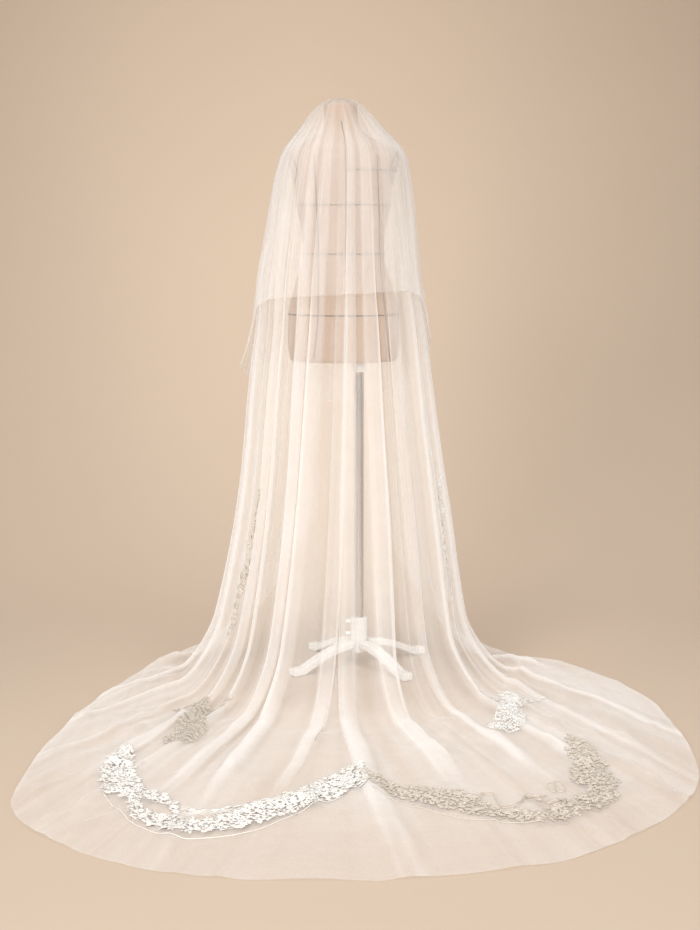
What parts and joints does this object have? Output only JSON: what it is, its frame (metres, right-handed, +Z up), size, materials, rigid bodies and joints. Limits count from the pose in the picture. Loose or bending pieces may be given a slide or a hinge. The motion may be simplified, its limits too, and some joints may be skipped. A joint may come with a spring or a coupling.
{
  "type": "two-tier cathedral veil on a limbless dress form and stand",
  "caption": "Sheer two-tier veil gathered at the crown of a limbless dress form, short outer tier, long lace-trimmed train spread on the floor.",
  "frame": {"origin": "middle of the footprint, on the floor that the stand and the train rest on", "axes": "+Y the way the form faces, away from the train; +Z up; +X to the viewer's right when looking at the train from behind it"},
  "size_m": [1.688, 2.0364, 1.7177],
  "materials": {
    "tulle": "sheer ivory net, soft sheen, plain cut edge",
    "silver_white_lace": "corded white lace with silver beads and sequins",
    "champagne_lace": "corded grey-beige lace with beads and sequins",
    "form_cloth": "matte cream cotton cover with dark seam lines",
    "steel": "satin steel tube",
    "white_enamel": "white enamel, slightly glossy"
  },
  "bodies": {
    "root": {"long_tier": "tulle", "short_tier": "tulle", "lace_train_left": "silver_white_lace", "lace_train_right": "champagne_lace", "lace_motif_left": "champagne_lace", "lace_motif_right": "silver_white_lace", "lace_side_left": "champagne_lace", "lace_side_right": "silver_white_lace", "dress_form": "form_cloth", "collar": "white_enamel", "pole": "steel", "hub": "white_enamel", "hub_bolt_1": "white_enamel", "hub_bolt_2": "white_enamel", "arm_1": "white_enamel", "arm_2": "white_enamel", "arm_3": "white_enamel", "arm_4": "white_enamel"}
  },
  "joints": []
}
